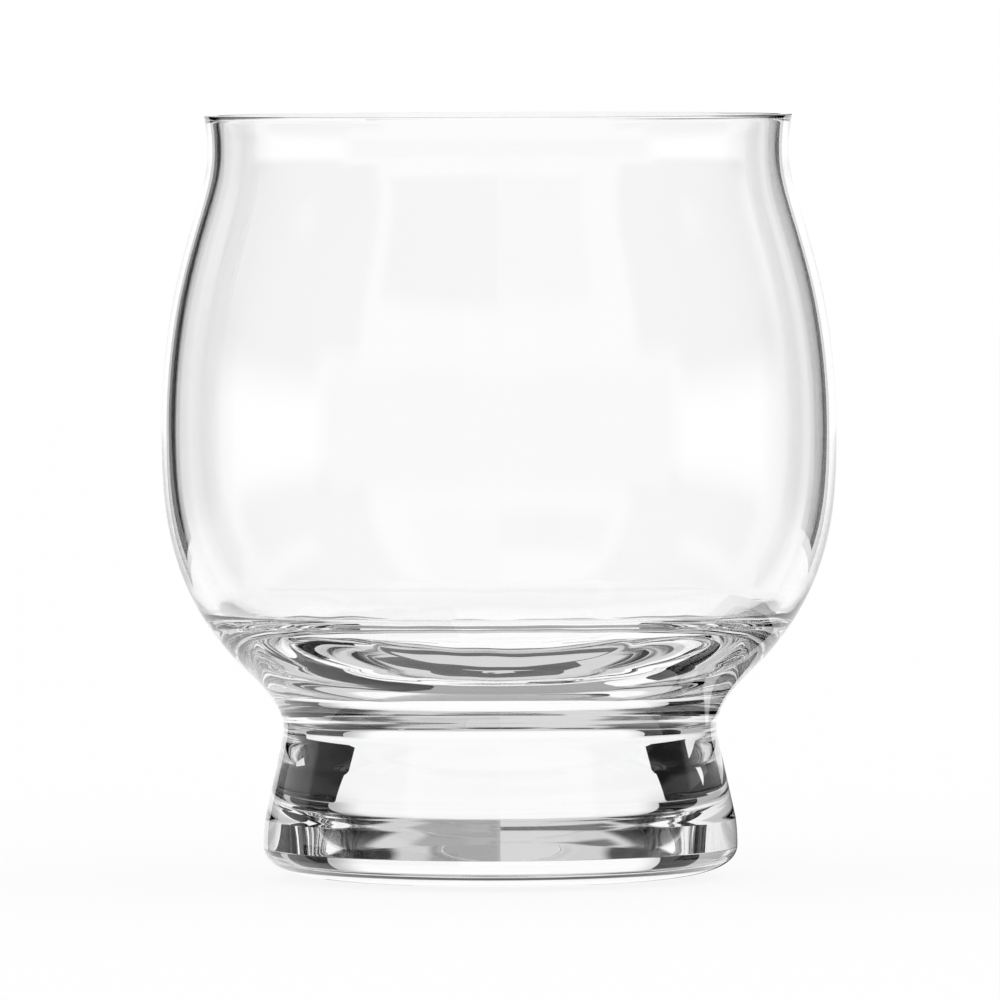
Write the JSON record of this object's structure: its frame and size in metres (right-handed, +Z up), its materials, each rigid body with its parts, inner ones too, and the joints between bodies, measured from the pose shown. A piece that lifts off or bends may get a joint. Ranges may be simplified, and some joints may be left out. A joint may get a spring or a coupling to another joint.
{
  "type": "whisky nosing glass",
  "caption": "Clear whisky nosing glass: a thin wide-bellied bowl with a turned-out lip, fused at a narrow waist to a heavy solid foot that stands on the table.",
  "frame": {"origin": "on the glass's axis, in the plane of the table that the foot's ring stands on", "axes": "+Z up along the glass's axis, from the foot to the rim; X and Y are alike, because the glass is round"},
  "size_m": [0.095, 0.095, 0.1073],
  "materials": {
    "blown_glass": "polished",
    "pressed_glass": "polished"
  },
  "bodies": {
    "root": {"bowl": "blown_glass", "foot": "pressed_glass"}
  },
  "joints": []
}
